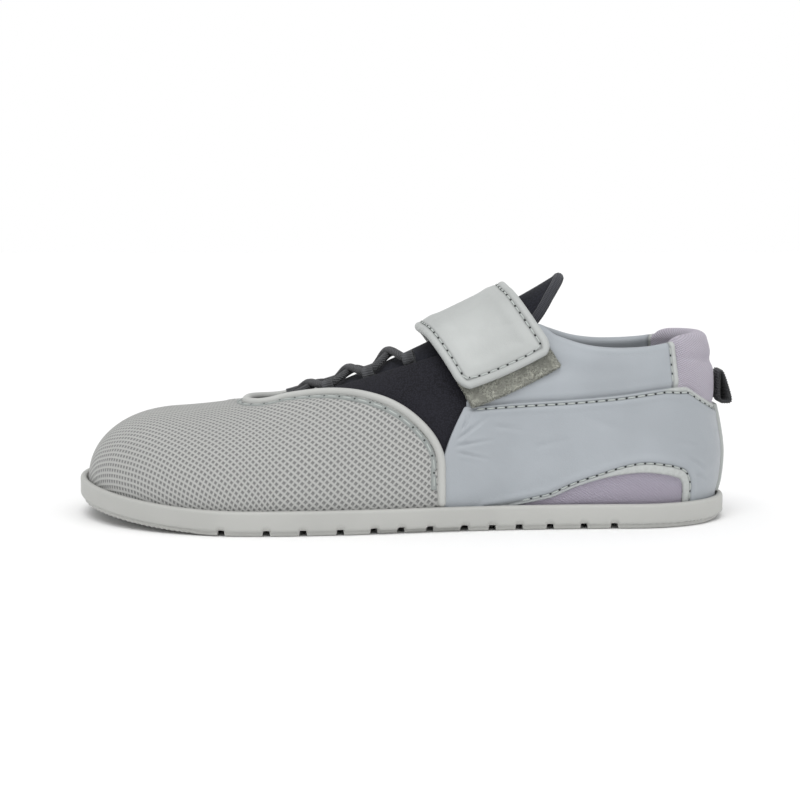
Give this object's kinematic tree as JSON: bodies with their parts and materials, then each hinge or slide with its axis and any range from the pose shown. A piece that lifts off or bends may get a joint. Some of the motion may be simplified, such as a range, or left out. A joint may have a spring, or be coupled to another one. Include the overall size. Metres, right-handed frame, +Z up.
{
  "type": "barefoot shoe",
  "caption": "Child's left barefoot shoe: flat flexible cup sole, wide toe box, textile vamp, leather quarter, elastic lace and an instep strap with hook-and-loop end.",
  "frame": {"origin": "on the ground plane under the middle of the heel, on the tread's flat face 30 mm from the heel's end", "axes": "+X from heel to toe, +Y to the lateral side, +Z up"},
  "size_m": [0.2023, 0.0827, 0.0751],
  "materials": {
    "rubber": "matt light warm grey moulded rubber, smooth side wall",
    "vamp_textile": "light warm grey woven textile with a diamond lattice of small pits",
    "leather": "smooth soft blue-grey leather, satin",
    "lilac_textile": "lilac-grey textile with fine cross ribs",
    "binding": "smooth light grey rolled band",
    "strap_leather": "smooth light grey leather, satin",
    "loop_pile": "pale grey looped pile of a hook-and-loop fastener",
    "dark_textile": "near-black soft lining textile",
    "dark_webbing": "dark grey elastic cord and ribbed webbing"
  },
  "bodies": {
    "root": {"outsole": "rubber", "insole": "dark_textile", "upper": "dark_textile", "tongue": "dark_textile", "vamp": "vamp_textile", "quarter": "leather", "side_window": "lilac_textile", "collar_front_lateral": "leather", "collar_front_medial": "leather", "collar_roll": "lilac_textile", "heel_tape": "strap_leather", "pull_loop": "dark_webbing", "throat_binding": "binding", "strap": "strap_leather", "loop_pad": "loop_pile", "elastic_lace": "dark_webbing"}
  },
  "joints": []
}
